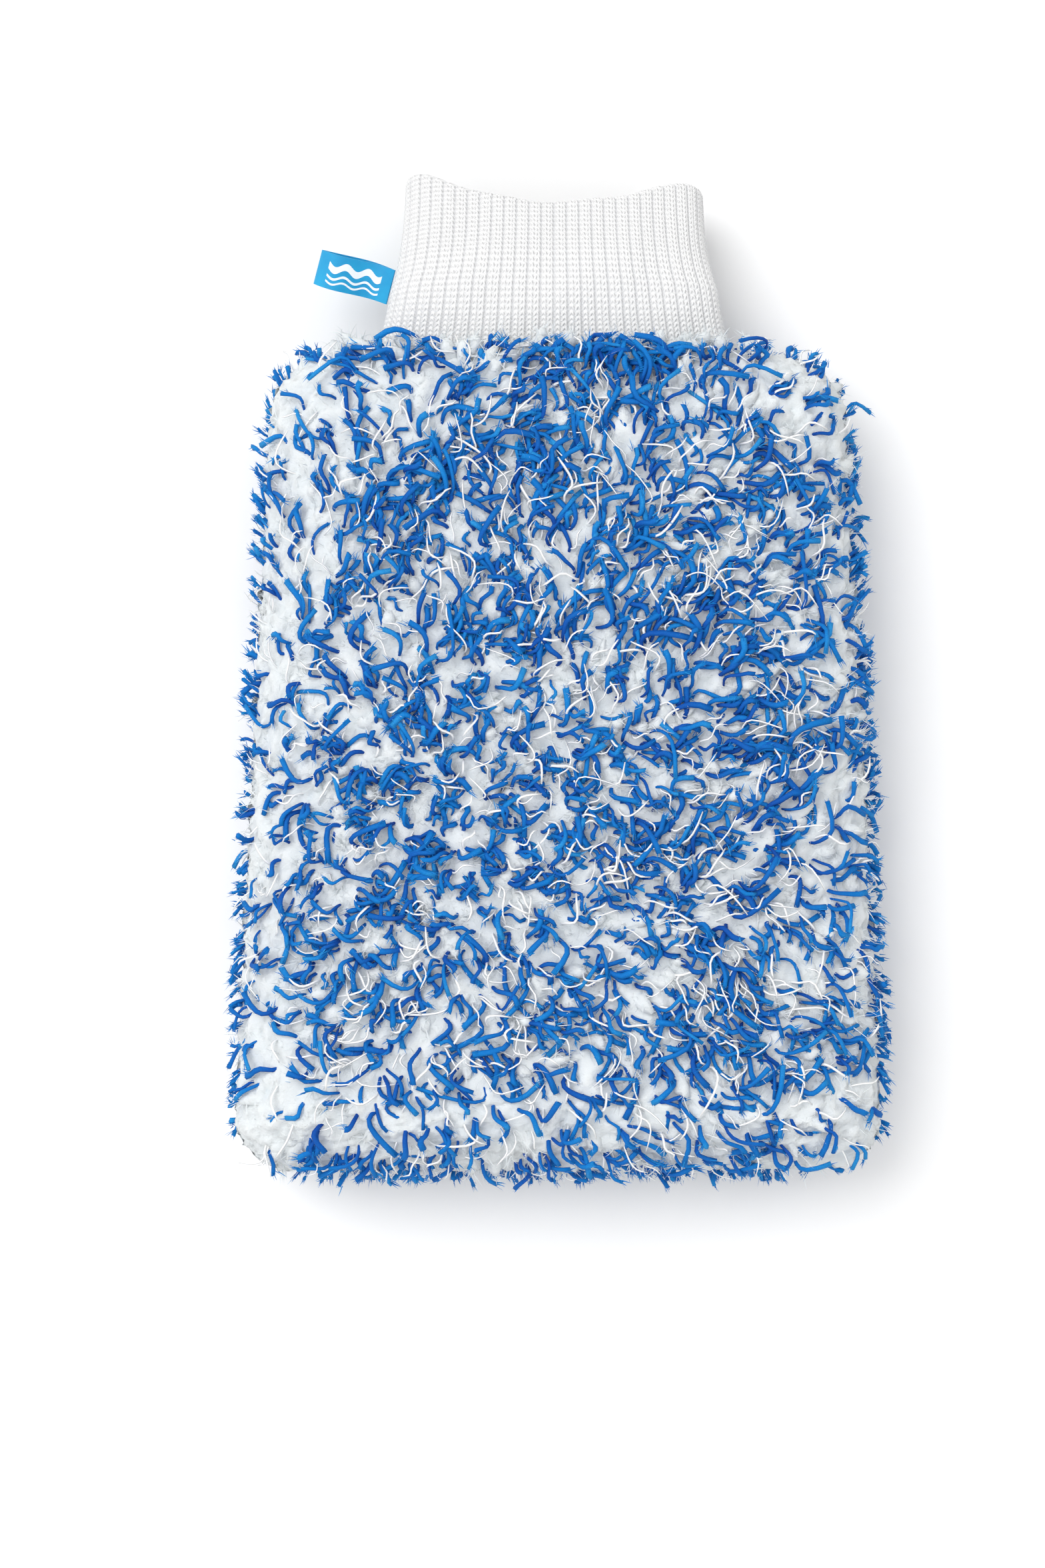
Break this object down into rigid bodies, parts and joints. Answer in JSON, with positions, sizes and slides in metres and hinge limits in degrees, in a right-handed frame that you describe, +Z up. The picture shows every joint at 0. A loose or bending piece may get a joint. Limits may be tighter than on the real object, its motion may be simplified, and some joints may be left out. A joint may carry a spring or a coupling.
{
  "type": "wash mitt",
  "caption": "Hand mitt for washing vehicles: a long-pile microfibre bag with a soft lined pocket, a folded rib-knit cuff and a ribbon label.",
  "frame": {"origin": "on the surface the mitt lies on, under the middle of its box", "axes": "+Z up through the front panel, +Y along the mitt towards the cuff, +X across it, away from the label"},
  "size_m": [0.1982, 0.3013, 0.058],
  "materials": {
    "pile": "long microfibre pile, white plush locks with blue yarns",
    "blue_yarn": "twisted blue polyester yarn with cut ends",
    "gloss_yarn": "thin glossy white filaments",
    "base_cloth": "knitted polyester ground cloth",
    "foam": "soft open-cell foam",
    "lining": "plain polyester lining",
    "rib_knit": "white two-by-two rib knit",
    "thread": "spun polyester sewing thread",
    "ribbon": "satin ribbon, printed on one side, white inside"
  },
  "bodies": {
    "mitt": {"front_pile": "pile", "front_base_cloth": "base_cloth", "front_foam": "foam", "front_lining": "lining", "back_pile": "pile", "back_base_cloth": "base_cloth", "back_foam": "foam", "back_lining": "lining", "shell_seam_thread": "thread", "lining_seam_thread": "thread", "cuff_join_thread": "thread", "cuff_root": "rib_knit"},
    "cuff": {"rib_cuff": "rib_knit", "cuff_seam_thread": "thread"},
    "label": {"label_ribbon": "ribbon"}
  },
  "joints": [
    {"name": "cuff_bend", "type": "hinge", "parent": "mitt", "child": "cuff", "pos_m": [-0.0012, 0.1145, 0.026], "axis": [1, 0, 0], "range_deg": [-35, 65], "stiffness_Nm_per_rad": 0.06, "springref_deg": 2.86, "deforming": ["cuff_root"]},
    {"name": "label_flap", "type": "hinge", "parent": "cuff", "child": "label", "pos_m": [-0.05109, 0.11595, 0.02561], "axis": [0.2924, 0.9237, -0.2475], "range_deg": [-50, 38], "stiffness_Nm_per_rad": 0.002}
  ]
}
